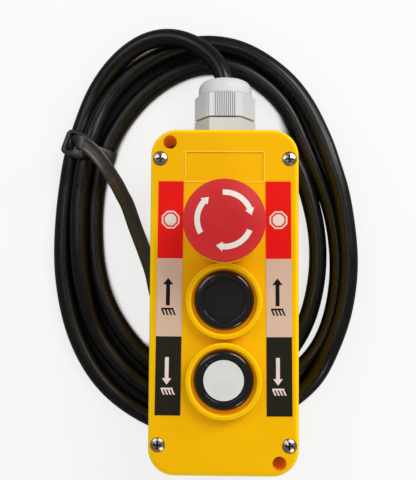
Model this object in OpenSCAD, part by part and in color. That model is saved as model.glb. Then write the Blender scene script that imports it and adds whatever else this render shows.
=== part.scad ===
// Hand-held control pendant for a hoist: emergency stop, raise and lower buttons, gland and cable.
// It lies on its back: +Z comes out of its face, +Y points to the cable end, units are millimetres.

/* [Housing] */
// Width of the housing
body_w = 75; // [73:0.5:82]
// Length of the housing
body_l = 173.6; // [170:0.2:186]
// Radius of the housing's corners, seen from the front
corner_r = 13.3; // [12:0.1:14]
// Depth of the front cover
cover_d = 14; // [12:0.5:18]
// Depth of the rear case
case_d = 36; // [35:0.5:42]
// Thickness of the side walls
wall = 3.5; // [3.5:0.1:4.2]
// Thickness of the cover's face
face_t = 3; // [2.4:0.1:3.6]
// Rounding along the cover's front edge
front_round = 2.5; // [1.5:0.1:3]
// Rounding along the case's back edge
back_round = 3; // [1.5:0.1:3.4]

/* [Seam] */
// Width of the groove that holds the gasket
groove_w = 1.2; // [1:0.1:1.3]
// Plastic left outside the groove
groove_lip = 0.9; // [0.8:0.05:1]
// Depth that the cover's tongue enters the groove
tongue_h = 1.3; // [0.8:0.1:1.6]
// Height of the gasket in the groove
gasket_h = 0.9; // [0.6:0.1:1.2]

/* [Cover screws] */
// Distance of a cover screw from the housing's side
screw_side = 4.8; // [4.7:0.1:5.5]
// Distance of a cover screw from the housing's end
screw_end = 15.2; // [14:0.1:18]
// Diameter of the screw's shank
screw_d = 3.5; // [3:0.1:3.6]
// Length of the screw under its head
screw_l = 20; // [18:0.5:22]
// Diameter of the screw's pan head
screw_head_d = 6.5; // [6:0.1:6.8]
// Height of the screw's pan head
screw_head_h = 2.5; // [2:0.1:3]
// Depth of the recess for the head
screw_recess = 2.1; // [1.5:0.1:2.5]
// Length of the brass thread insert
insert_l = 8; // [6:0.5:10]

/* [Hanging holes] */
// Diameter of the two holes through the housing
hang_d = 7; // [6:0.1:7.2]
// Distance of a hanging hole from the housing's side
hang_side = 9.7; // [9.7:0.1:10.9]
// Distance of a hanging hole from the housing's end
hang_end = 6.7; // [6.5:0.1:7.4]

/* [Buttons] */
// Distance from the raise button to the lower button
button_pitch = 39.5; // [39:0.1:42]
// Distance from the raise button to the emergency stop
estop_pitch = 37.6; // [37.6:0.1:42]
// Outer diameter of the raised collars on the cover
collar_d = 38; // [37:0.1:38.1]
// Inner diameter of the raised collars
collar_bore = 32.6; // [32.2:0.1:33.4]
// Height of the raised collars
collar_h = 6; // [4:0.2:7]
// Diameter of the hole in the cover for each operator
panel_hole = 24.4; // [24.2:0.05:24.8]
// Diameter of the operators' barrels
barrel_d = 24; // [23.6:0.05:24.1]
// Diameter of a button's cap
cap_d = 21.6; // [21:0.02:22.06]
// Gap all round a cap or a stem in its bore
run_gap = 0.08; // [0.04:0.01:0.1]
// Travel of the raise and lower buttons
button_travel = 4; // [2:0.5:4.5]
// Diameter of the black ring round a button
ring_d = 30; // [29:0.1:30.2]
// Height of the black ring over the cover's face
ring_h = 4.8; // [3.8:0.1:5.4]

/* [Emergency stop] */
// Diameter of the mushroom head
mushroom_d = 39; // [36:0.5:42]
// Height of the head's top over the cover's face
mushroom_top = 33; // [31:0.5:36]
// Thickness of the head
mushroom_t = 21; // [18:0.5:21.5]
// Travel of the emergency stop
estop_travel = 4; // [3:0.5:4.5]

/* [Legends] */
// Width of a legend sticker
legend_w = 12.7; // [11:0.1:13]
// Length of one legend field
legend_l = 39; // [36:0.5:40]
// Distance of the stickers' middle from the housing's side
legend_side = 10.1; // [9.7:0.1:11]
// Distance of the stickers' upper end from the housing's end
legend_end = 26.8; // [26:0.2:29]
// Lean of the stickers, in degrees
legend_lean = 0.4; // [0:0.1:0.6]
// Width of the blank name panel
panel_w = 40.4; // [36:0.2:41]
// Length of the blank name panel
panel_l = 16; // [12:0.5:16.5]
// Distance of the name panel from the housing's end
panel_end = 11.3; // [10:0.1:11.5]

/* [Gland] */
// Size of the gland's hexagons across their flats
gland_af = 28.6; // [27:0.2:29]
// Diameter of the gland's thread
gland_thread = 22.4; // [21:0.1:22.5]
// Length of the gland outside the housing
gland_reach = 32; // [31:0.5:36]
// Ribs on each face of the dome nut
nut_ribs = 11; // [7:1:13]

/* [Cable] */
// Diameter of the cable
cable_d = 10; // [9:0.1:10]
// Width of the cable tie's strap
tie_w = 7; // [5:0.2:8]

/* [Hidden] */
$fn = 64;
eps = 0.01;
slip = 0.05;

// Where the main planes lie: the origin is the middle of the pendant's own box
total_l = body_l + gland_reach;
total_h = case_d + cover_d + mushroom_top;
back_z = -total_h / 2;
seam_z = back_z + case_d;
face_z = seam_z + cover_d;
mid_y = -gland_reach / 2;
head_y = mid_y + body_l / 2;
floor_z = back_z - cable_d;

// Places across and along the housing
ring_lift = 0.5;
raise_y = mid_y + 0.3;
lower_y = raise_y - button_pitch;
estop_y = raise_y + estop_pitch;
screw_x = body_w / 2 - screw_side;
screw_y = body_l / 2 - screw_end;
screw_places = [for (sx = [-1, 1], sy = [-1, 1]) [sx * screw_x, mid_y + sy * screw_y]];
hang_x = body_w / 2 - hang_side;
hang_y = body_l / 2 - hang_end;
hang_places = [[-hang_x, mid_y + hang_y], [hang_x, mid_y - hang_y]];

// Seam
groove_d = tongue_h + gasket_h;
tongue_gap = 0.1;

// Cover screws
shank_gap = 0.1;
screw_seat = face_z - screw_recess;
recess_d = screw_head_d + 1.1;
boss_d = 9;
insert_d = screw_d + 1.7;
insert_z = seam_z - 0.5 - insert_l;
hang_tube = hang_d + 4;

// Operators: heights are counted from the cover's face
seal_t = 0.8;
barrel_end = -15;
barrel_floor = 2;
cap_top = 4.2;
cap_h = 8.2;
stem_d = 8;
stem_end = barrel_end;
nut_t = 4;
nut_d = 30;
cap_bore = cap_d + 2 * run_gap;
stem_bore = stem_d + 2 * run_gap;
insert_disc_d = 20;
insert_disc_t = 1;
block_w = 30;
block_len = 24;
block_h = 18;
block_top = barrel_end - max(button_travel, estop_travel);
block_collar_d = 21;
tip_d = 5;
tip_l = 11;
spring_wire = 1.1;
spring_r = 7.5;

// Emergency stop: the head turns on a stem that slides in the barrel
mushroom_low = mushroom_top - mushroom_t;
neck_d = 18;
neck_low = 2;
piston_top = -4;
piston_t = 3;
estop_stem_d = 10;
socket_top = mushroom_top - 8;
arrow_r = 12.7;
arrow_w = 2.6;
arrow_starts = [94, -22.7, -150];
arrow_sweep = 72;

// Gland: lengths are counted from the housing's end along the cable
gland_z = back_z + 20.5;
washer_t = 1.2;
washer_d = 25.5;
base_hex_l = 8.2;
nut_gap = 1;
dome_l = 8.5;
nut_low = washer_t + base_hex_l + nut_gap;
nut_high = gland_reach - dome_l;
gland_bore = 15;
claw_d = 19;
nut_cavity = 19.6;
cable_hole = cable_d + 0.6;
lock_t = 0.18 * gland_af;
thread_l = wall + 1.8 * lock_t;
seal_d = gland_bore - 0.2;
rib_w = 0.7;
rib_h = 0.35;
gland_ac = gland_af / cos(30);

// The coil: an egg-shaped ring on the surface under the pendant
coil_x = -9.2;
coil_y = mid_y + 26.8;
coil_half_w = 72.9;
coil_half_top = 115;
coil_half_low = 90.5;
coil_steps = 72;
strands = 3;
ring_half = strands * cable_d / 2 - 1;
top_slim = 3.5;
rise = 6;
left_arc = [140, 222];
right_arc = [-42, 42];
tie_t = 1.3;
tie_angle = 151;
tie_gap = 0.15;

// The lead's route: out of the gland, over the top of the coil and down beside it
lead_start = [0, head_y + gland_reach, gland_z];
lead_route = [
    lead_start,
    lead_start + [0, 2.5, 0],
    lead_start + [-0.7, 4.9, -0.4],
    lead_start + [-2.3, 8.2, -1.2],
    lead_start + [-5.2, 12.8, -3.2],
    lead_start + [-9.8, 18.2, -6],
    lead_start + [-17.3, 24.1, -9],
    lead_start + [-24.6, 27.7, -11],
    lead_start + [-31.7, 29.5, -13],
    lead_start + [-42.6, 28.6, -15],
    lead_start + [-52.4, 24.2, -17.2],
    lead_start + [-62, 17, -20],
    lead_start + [-70.4, 7.4, -23],
    lead_start + [-76.3, -2, -25],
    lead_start + [-80.7, -13.2, -25.5],
    lead_start + [-83, -21.5, -25.5]
];

// The cable's last stretch leaves the coil in a bow under the pendant, where it ends stripped
tail_r = 38.5;
tail_route = [for (a = [58 : 12 : 142])
    [13.3 + tail_r * cos(a), coil_y + 27.5 + tail_r * sin(a), floor_z + cable_d / 2]];

// The tie's loose end: over the coil, down inside it and under the pendant's edge
tie_tail = [
    [-80.5, coil_y + 60.9, floor_z + cable_d + rise + 7.3],
    [-77.9, coil_y + 61.5, floor_z + cable_d + rise + 7.9],
    [-73.4, coil_y + 57.7, floor_z + cable_d + rise + 8.1],
    [-68.4, coil_y + 51.1, floor_z + cable_d + rise + 7.5],
    [-64, coil_y + 45.2, floor_z + cable_d + rise + 5.7],
    [-60.5, coil_y + 38.4, floor_z + cable_d + rise + 2.5],
    [-58.2, coil_y + 33.3, floor_z + cable_d + 4.5],
    [-54.9, coil_y + 25.8, floor_z + cable_d + 0.5],
    [-50.8, coil_y + 13.6, floor_z + 7],
    [-45.7, coil_y, floor_z + 4.7],
    [-41.7, coil_y - 11.4, floor_z + 3.2],
    [-38.6, coil_y - 25.1, floor_z + 1.9],
    [-34, coil_y - 34.5, floor_z + 1.5]
];
end_core_d = 2.4;
end_core_l = 22;

// Cores inside the housing, from the stripped end of the sheath to the contact blocks
core_d = 2.2;
sheath_in = thread_l + 4;
core_low = back_z + wall + core_d / 2 + 0.2;

// Plain shapes used by several pieces

// A block with round upright corners
module rounded_block(w, l, r, h) {
    union() {
        translate([-w / 2 + r, -l / 2, 0]) cube([w - 2 * r, l, h]);
        translate([-w / 2, -l / 2 + r, 0]) cube([w, l - 2 * r, h]);
        for (sx = [-1, 1], sy = [-1, 1])
            translate([sx * (w / 2 - r), sy * (l / 2 - r), 0]) cylinder(r = r, h = h);
    }
}

// Half of a section through a shell: square below, rounded at its upper outer edge
module edge_section(r, h, round_r) {
    union() {
        square([r, h - round_r]);
        square([r - round_r, h]);
        intersection() {
            translate([r - round_r, h - round_r]) circle(round_r);
            translate([r - round_r, h - round_r]) square(round_r);
        }
    }
}

// A block with round upright corners and a rounded upper edge, built from its corners and sides
module pillow_block(w, l, r, h, round_r) {
    long = l - 2 * r;
    wide = w - 2 * r;
    union() {
        translate([-wide / 2, -long / 2, 0]) cube([wide, long, h]);
        for (turn = [0, 180]) rotate([0, 0, turn]) {
            translate([wide / 2, long / 2, 0]) rotate([90, 0, 0])
                linear_extrude(long) edge_section(r, h, round_r);
            translate([-wide / 2, long / 2, 0]) rotate([90, 0, 90])
                linear_extrude(wide) edge_section(r, h, round_r);
            translate([wide / 2, long / 2, 0])
                rotate_extrude(angle = 90) edge_section(r, h, round_r);
            translate([-wide / 2, long / 2, 0]) rotate([0, 0, 90])
                rotate_extrude(angle = 90) edge_section(r, h, round_r);
        }
    }
}

// The track that the gasket, its groove and the cover's tongue follow round the seam
module seam_track(inset, width, h) {
    difference() {
        rounded_block(body_w - 2 * inset, body_l - 2 * inset, corner_r - inset, h);
        translate([0, 0, -1])
            rounded_block(body_w - 2 * (inset + width), body_l - 2 * (inset + width),
                corner_r - inset - width, h + 2);
    }
}

module ring(outer_d, inner_d, h) {
    difference() {
        cylinder(d = outer_d, h = h);
        translate([0, 0, -1]) cylinder(d = inner_d, h = h + 2);
    }
}

// Sets a piece of the gland, drawn standing up, onto the housing's end
module on_gland_axis() {
    translate([0, head_y, gland_z]) rotate([-90, 0, 0]) children();
}

// Sweeping a round section along a route
function unit(v) = v / norm(v);
function heading(route, i) =
    unit(route[min(i + 1, len(route) - 1)] - route[max(i - 1, 0)]);
function side_of(way, up) = unit(cross(way, up));
function hoop(route, i, r, sides, up) =
    let (way = heading(route, i), across = side_of(way, up), over = cross(across, way))
    [for (k = [0 : sides - 1])
        route[i] + r * cos(360 * k / sides) * across + r * sin(360 * k / sides) * over];

module swept_tube(route, d, sides = 10, up = [0, 0, 1]) {
    rings = len(route);
    points = [for (i = [0 : rings - 1]) each hoop(route, i, d / 2, sides, up)];
    walls = [for (i = [0 : rings - 2], k = [0 : sides - 1])
        let (a = i * sides + k, b = i * sides + (k + 1) % sides)
        [a, b, b + sides, a + sides]];
    split = [for (f = walls) each [[f[0], f[1], f[2]], [f[0], f[2], f[3]]]];
    first = [for (k = [sides - 1 : -1 : 0]) k];
    last = [for (k = [0 : sides - 1]) (rings - 1) * sides + k];
    polyhedron(points, concat([first, last], split));
}

// Front cover

module screw_recesses() {
    for (p = screw_places) translate([p[0], p[1], 0]) {
        translate([0, 0, screw_seat]) cylinder(d = recess_d, h = screw_recess + 1);
        translate([0, 0, seam_z - 1]) cylinder(d = screw_d + 0.8, h = cover_d + 2);
    }
}

module hang_bores() {
    for (p = hang_places) translate([p[0], p[1], back_z - 1])
        cylinder(d = hang_d, h = case_d + cover_d + 2);
}

// Raised collar round an operator, with a rounded rim and a bore that narrows to its foot
module collar() {
    rim = (collar_d - collar_bore) / 2;
    lip = 1.2;
    draft = 0.5;
    rotate_extrude() translate([collar_bore / 2, -eps]) union() {
        polygon([[-draft, 0], [rim, 0], [rim, collar_h - lip], [0, collar_h - lip]]);
        translate([lip, 0]) square([rim - 2 * lip, collar_h]);
        translate([lip, collar_h - lip]) circle(lip);
        translate([rim - lip, collar_h - lip]) circle(lip);
    }
}

// The name panel is a shallow recess inside a fine raised frame
frame_w = 0.6;
panel_y = head_y - panel_end - panel_l / 2;

module name_panel_frame() {
    translate([-panel_w / 2, panel_y - panel_l / 2, face_z - eps]) cube([panel_w, panel_l, 0.25]);
}

module name_panel_recess() {
    clear_w = panel_w - 2 * frame_w;
    clear_l = panel_l - 2 * frame_w;
    translate([-clear_w / 2, panel_y - clear_l / 2, face_z - 0.3]) cube([clear_w, clear_l, 1]);
}

module front_cover() {
    hollow_d = cover_d - face_t;
    color([1, 0.8, 0.05]) difference() {
        union() {
            difference() {
                translate([0, mid_y, seam_z])
                    pillow_block(body_w, body_l, corner_r, cover_d, front_round);
                translate([0, mid_y, seam_z - 1])
                    rounded_block(body_w - 2 * wall, body_l - 2 * wall,
                        corner_r - wall, hollow_d + 1);
            }
            for (y = [estop_y, raise_y, lower_y]) translate([0, y - ring_lift, face_z]) collar();
            name_panel_frame();
            for (p = screw_places) translate([p[0], p[1], seam_z])
                cylinder(d = boss_d, h = hollow_d + eps);
            for (p = hang_places) translate([p[0], p[1], seam_z])
                cylinder(d = hang_tube, h = hollow_d + eps);
            translate([0, mid_y, seam_z - tongue_h])
                seam_track(groove_lip + tongue_gap, groove_w - 2 * tongue_gap, tongue_h + eps);
        }
        for (y = [estop_y, raise_y, lower_y]) translate([0, y, face_z - face_t - 1])
            cylinder(d = panel_hole, h = face_t + 2);
        screw_recesses();
        hang_bores();
        name_panel_recess();
    }
}

// Rear case

module rear_case() {
    post_h = case_d - wall;
    color([0.96, 0.74, 0.03]) difference() {
        union() {
            difference() {
                translate([0, mid_y, seam_z]) mirror([0, 0, 1])
                    pillow_block(body_w, body_l, corner_r, case_d, back_round);
                translate([0, mid_y, back_z + wall])
                    rounded_block(body_w - 2 * wall, body_l - 2 * wall,
                        corner_r - wall, case_d);
            }
            for (p = screw_places) translate([p[0], p[1], back_z + wall - eps])
                cylinder(d = boss_d, h = post_h);
            for (p = hang_places) translate([p[0], p[1], back_z + wall - eps])
                cylinder(d = hang_tube, h = post_h);
        }
        translate([0, mid_y, seam_z - groove_d])
            seam_track(groove_lip, groove_w, groove_d + 1);
        for (p = screw_places) translate([p[0], p[1], insert_z]) {
            cylinder(d = insert_d + 2 * slip, h = insert_l + 2);
            translate([0, 0, -5]) cylinder(d = screw_d + 0.4, h = 6);
        }
        hang_bores();
        on_gland_axis() translate([0, 0, -wall - 1])
            cylinder(d = gland_thread + 0.4, h = wall + 2);
    }
}

module housing_gasket() {
    color([0.1, 0.1, 0.1]) translate([0, mid_y, seam_z - groove_d])
        seam_track(groove_lip + tongue_gap, groove_w - 2 * tongue_gap, gasket_h);
}

// Cover screws and their thread inserts

module pan_head() {
    crown = 2.4;
    difference() {
        intersection() {
            cylinder(d = screw_head_d, h = screw_head_h);
            translate([0, 0, screw_head_h - crown * 3]) sphere(crown * 3);
        }
        for (turn = [0, 90]) rotate([0, 0, turn])
            translate([-2, -0.5, screw_head_h - 1.5]) cube([4, 1, 2]);
    }
}

module cover_screws() {
    color([0.78, 0.78, 0.76]) for (p = screw_places) translate([p[0], p[1], screw_seat]) {
        pan_head();
        translate([0, 0, -screw_l]) cylinder(d = screw_d, h = screw_l + eps);
    }
}

module thread_inserts() {
    color([0.75, 0.6, 0.25]) for (p = screw_places) translate([p[0], p[1], insert_z])
        ring(insert_d, screw_d + shank_gap, insert_l);
}

// Legend stickers beside the buttons: field 0 is the upper one

module legend_field(field) {
    t = 0.3;
    top = head_y - legend_end;
    low = top - (field + 1) * legend_l;
    middle = top - 1.5 * legend_l;
    for (side = [-1, 1])
        translate([side * (body_w / 2 - legend_side), middle, face_z]) rotate([0, 0, side * legend_lean])
            translate([-legend_w / 2, low - middle, 0]) cube([legend_w, legend_l, t]);
}

module stop_legends() { color([0.9, 0.12, 0.08]) legend_field(0); }
module raise_legends() { color([0.88, 0.76, 0.68]) legend_field(1); }
module lower_legends() { color([0.14, 0.13, 0.11]) legend_field(2); }

// Pieces that all three operators share: y is the place along the housing

module operator_seal(y) {
    color([0.15, 0.15, 0.15]) translate([0, y, face_z])
        ring(ring_d - 1.6, panel_hole, seal_t);
}

// Ring on the cover and threaded barrel through it, with a guide for the stem at its foot
module operator_ring(y, top, bulge) {
    outer = ring_d / 2;
    bore = cap_bore / 2;
    width = outer - bore;
    foot = barrel_end + barrel_floor;
    edge = 0.35;
    translate([0, y, face_z]) rotate_extrude() union() {
        translate([bore, seal_t]) square([width, top - seal_t - bulge]);
        translate([bore, seal_t]) square([width - bulge, top - seal_t - edge]);
        translate([bore + edge, seal_t]) square([width - bulge - edge, top - seal_t]);
        translate([outer - bulge, top - bulge]) intersection() {
            circle(bulge);
            square(bulge);
        }
        translate([bore + edge, top - edge]) circle(edge);
        translate([bore, foot]) square([barrel_d / 2 - bore, seal_t - foot + eps]);
        translate([stem_bore / 2, barrel_end])
            square([barrel_d / 2 - stem_bore / 2, barrel_floor]);
    }
}

module operator_lock_nut(y) {
    grips = 12;
    color([0.2, 0.2, 0.2]) translate([0, y, face_z - face_t - nut_t]) difference() {
        cylinder(d = nut_d, h = nut_t);
        translate([0, 0, -1]) cylinder(d = barrel_d + 0.3, h = nut_t + 2);
        for (k = [0 : grips - 1]) rotate([0, 0, 360 * k / grips])
            translate([nut_d / 2, 0, -1]) cylinder(d = 2.4, h = nut_t + 2);
    }
}

// Coil spring drawn from its lower end
module coil_spring(low, high, turns) {
    steps = 14;
    pad = spring_wire / 2;
    climb = high - low - 2 * pad;
    route = [for (i = [0 : turns * steps])
        [spring_r * cos(360 * i / steps), spring_r * sin(360 * i / steps),
            low + pad + climb * i / (turns * steps)]];
    color([0.8, 0.8, 0.82]) swept_tube(route, spring_wire, 6);
}

// Contact block: a moulded box hung from the barrel's foot by a collar
module contact_block(y, tint) {
    shaft = tip_d + 2 * run_gap;
    color(tint) translate([0, y, face_z]) difference() {
        union() {
            translate([0, 0, block_top]) ring(barrel_d, block_collar_d, barrel_end - block_top);
            translate([-block_w / 2, -block_len / 2, block_top - block_h])
                cube([block_w, block_len, block_h]);
        }
        translate([0, 0, block_top - block_h + 3]) cylinder(d = shaft, h = block_h);
        for (side = [-1, 1]) {
            translate([side * (block_w / 2 - 4), 0, block_top - 5]) cylinder(d = 5.2, h = 6);
            translate([side * (block_w / 2 - 2.5) - 3, -2, block_top - 12]) cube([6, 4, 4]);
        }
    }
}

module contact_tip(y) {
    color([0.9, 0.9, 0.88]) translate([0, y, face_z + stem_end - tip_l])
        cylinder(d = tip_d, h = tip_l);
}

// A button's cap slides in the barrel: its stem reaches through the foot to the contact tip
module button_cap(y, tint, recess) {
    foot = cap_top - cap_h;
    color(tint) translate([0, y, face_z]) difference() {
        union() {
            translate([0, 0, foot]) cylinder(d = cap_d, h = cap_h);
            translate([0, 0, stem_end]) cylinder(d = stem_d, h = foot - stem_end + eps);
        }
        if (recess > 0)
            translate([0, 0, cap_top - recess]) cylinder(d = insert_disc_d + 0.1, h = recess + 1);
        else
            translate([0, 0, cap_top - 0.25]) ring(19.6, 18.8, 1);
    }
}

// Emergency stop

// Section of the mushroom head: a crowned disc, flat in its middle, with a rounded rim and a neck
module mushroom_section() {
    rim_r = 4.5;
    outer = mushroom_d / 2;
    crown_r = 62;
    flat = 0.25;
    intersection() {
        union() {
            translate([0, mushroom_low + 6]) square([outer - rim_r, mushroom_t - 6]);
            translate([0, mushroom_low + 6 + rim_r]) square([outer, mushroom_t - 6 - 2 * rim_r]);
            translate([outer - rim_r, mushroom_top - rim_r]) circle(rim_r);
            translate([outer - rim_r, mushroom_low + 6 + rim_r]) circle(rim_r);
            polygon([[0, mushroom_low], [12, mushroom_low], [15.5, mushroom_low + 6.5],
                [0, mushroom_low + 6.5]]);
            translate([0, neck_low]) square([neck_d / 2, mushroom_low - neck_low + eps]);
        }
        union() {
            translate([0, mushroom_top + flat - crown_r]) circle(crown_r, $fn = 400);
            translate([0, neck_low]) square([outer + 1, mushroom_t - 6]);
        }
        translate([0, neck_low - 1]) square([outer + 1, mushroom_top]);
    }
}

// One bent arrow of the three that show the way to turn, as a flat outline
module turn_arrow(start, grow) {
    head = 14;
    steps = 12;
    inner = arrow_r - arrow_w / 2 - grow;
    outer = arrow_r + arrow_w / 2 + grow;
    wing = 0.95 + grow;
    bend = [for (k = [0 : steps]) start - (arrow_sweep - 1) * k / steps];
    neck = start - arrow_sweep + 1;
    polygon(concat(
        [for (a = bend) outer * [cos(a), sin(a)]],
        [(outer + wing) * [cos(neck), sin(neck)], arrow_r * [cos(neck - head), sin(neck - head)],
            (inner - wing) * [cos(neck), sin(neck)]],
        [for (k = [steps : -1 : 0]) inner * [cos(bend[k]), sin(bend[k])]]));
}

module turn_arrows(grow, low, h) {
    translate([0, estop_y, low]) linear_extrude(h) for (a = arrow_starts) turn_arrow(a, grow);
}

arrow_low = face_z + mushroom_top - 2.3;

module estop_mushroom() {
    color([0.8, 0.12, 0.14]) difference() {
        translate([0, estop_y, face_z]) rotate_extrude() mushroom_section();
        translate([0, estop_y, face_z + neck_low - 1])
            cylinder(d = estop_stem_d + 2 * run_gap, h = socket_top - neck_low + 1);
        turn_arrows(0.02, arrow_low, 5);
    }
}

// The arrows fill their slots and follow the crown of the head
module estop_arrows() {
    color([0.95, 0.93, 0.9]) intersection() {
        turn_arrows(0, arrow_low, 3);
        translate([0, estop_y, face_z]) rotate_extrude() mushroom_section();
    }
}

module estop_stem() {
    color([0.55, 0.56, 0.58]) translate([0, estop_y, face_z]) union() {
        translate([0, 0, piston_top - piston_t])
            cylinder(d = estop_stem_d, h = socket_top - 0.5 - piston_top + piston_t);
        translate([0, 0, piston_top - piston_t]) cylinder(d = cap_d, h = piston_t);
        translate([0, 0, stem_end])
            cylinder(d = stem_d, h = piston_top - piston_t - stem_end + eps);
    }
}

module estop_ring() { color([0.12, 0.12, 0.12]) operator_ring(estop_y, 4.6, 0.8); }
module estop_ring_seal() { operator_seal(estop_y); }
module estop_lock_nut() { operator_lock_nut(estop_y); }
module estop_spring() {
    translate([0, estop_y, 0])
        coil_spring(face_z + barrel_end + barrel_floor, face_z + piston_top - piston_t, 2);
}
module estop_contact_block() { contact_block(estop_y, [0.75, 0.15, 0.12]); }
module estop_contact_tip() { contact_tip(estop_y); }

// Raise button

module raise_ring() { color([0.07, 0.07, 0.07]) operator_ring(raise_y, ring_h, 2.2); }
module raise_ring_seal() { operator_seal(raise_y); }
module raise_cap() { button_cap(raise_y, [0.06, 0.06, 0.06], 0); }
module raise_lock_nut() { operator_lock_nut(raise_y); }
module raise_spring() {
    translate([0, raise_y, 0])
        coil_spring(face_z + barrel_end + barrel_floor, face_z + cap_top - cap_h, 3);
}
module raise_contact_block() { contact_block(raise_y, [0.1, 0.5, 0.25]); }
module raise_contact_tip() { contact_tip(raise_y); }

// Lower button, with a white disc let into its cap

module lower_ring() { color([0.07, 0.07, 0.07]) operator_ring(lower_y, ring_h, 2.2); }
module lower_ring_seal() { operator_seal(lower_y); }
module lower_cap() { button_cap(lower_y, [0.08, 0.08, 0.08], insert_disc_t); }
module lower_cap_disc() {
    color([0.85, 0.86, 0.85]) translate([0, lower_y, face_z + cap_top - insert_disc_t])
        cylinder(d = insert_disc_d, h = insert_disc_t + 0.2);
}
module lower_lock_nut() { operator_lock_nut(lower_y); }
module lower_spring() {
    translate([0, lower_y, 0])
        coil_spring(face_z + barrel_end + barrel_floor, face_z + cap_top - cap_h, 3);
}
module lower_contact_block() { contact_block(lower_y, [0.1, 0.5, 0.25]); }
module lower_contact_tip() { contact_tip(lower_y); }

module terminal_screws() {
    color([0.75, 0.75, 0.72]) for (y = [estop_y, raise_y, lower_y], side = [-1, 1])
        translate([side * (block_w / 2 - 4), y, face_z + block_top - 5]) difference() {
            cylinder(d = 5, h = 2.5);
            translate([-3, -0.4, 1.7]) cube([6, 0.8, 2]);
        }
}

// Gland

module hexagon_bar(h) { cylinder(d = gland_ac, h = h, $fn = 6); }

module gland_body() {
    slots = 6;
    claw_top = nut_high + 1.5;
    color([0.78, 0.78, 0.77]) on_gland_axis() difference() {
        union() {
            translate([0, 0, -thread_l]) cylinder(d = gland_thread, h = thread_l + washer_t);
            translate([0, 0, washer_t]) hexagon_bar(base_hex_l);
            translate([0, 0, washer_t + base_hex_l - eps])
                cylinder(d = claw_d, h = claw_top - washer_t - base_hex_l);
        }
        translate([0, 0, -thread_l - 1]) cylinder(d = gland_bore, h = thread_l + claw_top + 2);
        for (k = [0 : slots - 1]) rotate([0, 0, 60 * k])
            translate([gland_bore / 2 - 1, -0.6, nut_high - 5]) cube([4, 1.2, 8]);
    }
}

module gland_washer() {
    color([0.25, 0.25, 0.25]) on_gland_axis() ring(washer_d, gland_thread + 0.1, washer_t);
}

module gland_seal() {
    color([0.1, 0.1, 0.1]) on_gland_axis() translate([0, 0, nut_high - 12])
        ring(seal_d, cable_d + 0.1, 13);
}

// Outline of the ribbed hexagon: each face carries a row of fine ribs
function face_point(turn, along, out) =
    let (mid = turn + 30, reach = gland_af / 2 + out)
    [reach * cos(mid) - along * sin(mid), reach * sin(mid) + along * cos(mid)];
function rib_points(turn) =
    let (span = gland_af * tan(30), pitch = span * 0.74 / nut_ribs)
    [for (k = [0 : nut_ribs - 1])
        let (at = (k - (nut_ribs - 1) / 2) * pitch, half = rib_w / 2)
        each [face_point(turn, at - half, 0), face_point(turn, at - half * 0.5, rib_h),
            face_point(turn, at + half * 0.5, rib_h), face_point(turn, at + half, 0)]];
function ribbed_hexagon() =
    [for (k = [0 : 5]) each concat([gland_ac / 2 * [cos(60 * k), sin(60 * k)]], rib_points(60 * k))];

module dome_section() {
    base = gland_af / 2 + 0.1;
    shoulder = 5.6;
    square([base, dome_l - shoulder]);
    square([base - shoulder, dome_l]);
    translate([base - shoulder, dome_l - shoulder]) circle(shoulder);
}

module gland_dome_nut() {
    bevel = 1.7;
    color([0.8, 0.81, 0.81]) on_gland_axis() difference() {
        union() {
            intersection() {
                translate([0, 0, nut_low]) linear_extrude(nut_high - nut_low)
                    polygon(ribbed_hexagon());
                translate([0, 0, nut_low]) rotate_extrude() polygon([
                    [0, 0], [gland_ac / 2 + 1, 0], [gland_ac / 2 + 1, nut_high - nut_low - bevel],
                    [gland_af / 2 - 0.2, nut_high - nut_low], [0, nut_high - nut_low]]);
            }
            translate([0, 0, nut_high - eps]) rotate_extrude() dome_section();
        }
        translate([0, 0, nut_low - 1]) cylinder(d = nut_cavity, h = nut_high - nut_low + 3);
        translate([0, 0, nut_high + 2 - eps])
            cylinder(d1 = nut_cavity, d2 = cable_hole, h = dome_l - 4);
        translate([0, 0, nut_high]) cylinder(d = cable_hole, h = dome_l + 1);
    }
}

module gland_lock_nut() {
    color([0.78, 0.78, 0.77]) on_gland_axis() translate([0, 0, -wall - lock_t]) difference() {
        hexagon_bar(lock_t);
        translate([0, 0, -1]) cylinder(d = gland_thread + 0.2, h = lock_t + 2);
    }
}

// Cable

module cable_sheath_end() {
    color([0.08, 0.08, 0.08]) on_gland_axis() translate([0, 0, -sheath_in])
        cylinder(d = cable_d, h = sheath_in + gland_reach);
}

// Cores fan out from the sheath, drop to the floor of the case and come up beside each block
module cable_cores() {
    start_y = head_y - sheath_in;
    ends = [[-1, estop_y], [1, estop_y], [-1, raise_y], [1, lower_y]];
    color([0.85, 0.85, 0.8]) for (k = [0 : len(ends) - 1]) {
        side = ends[k][0];
        end_y = ends[k][1];
        step = k > 1 ? 4 : 0;
        lane = side * (block_w / 2 + 3 + step);
        root = [side * 1.9, start_y, gland_z + (k > 1 ? -1.9 : 1.9)];
        block_low = face_z + block_top - 10;
        swept_tube([
            root,
            root + [0, -2, 0],
            root + [side * (1.5 + step), -7, -2],
            [side * (9 + 1.5 * step), start_y - 11, core_low + 6 - step / 2],
            [lane - side * 2, start_y - 15, core_low + 1.5],
            [lane, start_y - 20, core_low],
            [lane, end_y + 8, core_low],
            [lane, end_y + 2, core_low + 1.5],
            [lane, end_y, core_low + 5],
            [lane, end_y, block_low - 4],
            [lane - side * 1.5, end_y, block_low - 1],
            [lane - side * 4, end_y, block_low],
            [side * (block_w / 2 - 2), end_y, block_low]], core_d, 6, [0.1, 0.3, 1]);
    }
}

module cable_lead() {
    color([0.07, 0.07, 0.07]) swept_tube(lead_route, cable_d, 12);
}

// A point of the egg that the coil follows, moved out by an offset
function coil_point(angle, out) =
    let (tall = sin(angle) > 0 ? coil_half_top : coil_half_low)
    [coil_x + (coil_half_w + out) * cos(angle), coil_y + (tall + out) * sin(angle)];

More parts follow.
